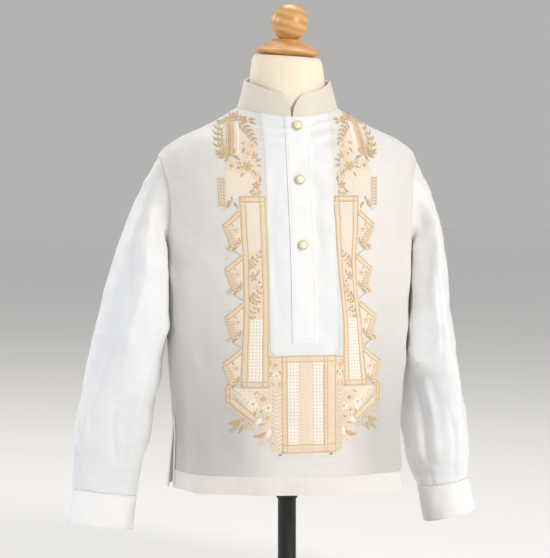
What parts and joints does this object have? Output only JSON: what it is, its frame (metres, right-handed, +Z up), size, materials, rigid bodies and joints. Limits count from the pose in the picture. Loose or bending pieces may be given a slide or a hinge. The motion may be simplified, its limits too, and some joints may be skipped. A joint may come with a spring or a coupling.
{
  "type": "child's barong tagalog shirt on a limbless dress form",
  "caption": "Sheer long-sleeved shirt with a stand collar, half placket and side slits, worn by a cloth-covered torso form with a turned wooden cap on a short round stand",
  "frame": {"origin": "Middle of the underside of the stand's round base, which is the centre of the mount stand_base_underside", "axes": "+Z up along the pole and the neck, -Y to the shirt's front, +X to the wearer's left"},
  "size_m": [0.5082, 0.264, 0.714],
  "materials": {
    "sheer_cloth": "sheer plain weave with slubs, soft sheen, ivory",
    "facing_cloth": "doubled and lined cloth, white",
    "gilt_metal": "polished rim with a pearl dome",
    "form_cover": "stretched jersey, cream",
    "turned_wood": "satin varnish, honey brown",
    "painted_steel": "satin black"
  },
  "bodies": {
    "root": {"front": "sheer_cloth", "back": "sheer_cloth", "sleeve_right": "sheer_cloth", "sleeve_left": "sheer_cloth", "cuff_right": "facing_cloth", "cuff_left": "facing_cloth", "collar": "facing_cloth", "bib": "facing_cloth", "placket": "facing_cloth", "button_1": "gilt_metal", "button_2": "gilt_metal", "button_3": "gilt_metal", "form_body": "form_cover", "neck_cap": "turned_wood", "finial_ball": "turned_wood", "stand_pole": "painted_steel", "stand_base": "painted_steel"}
  },
  "joints": []
}
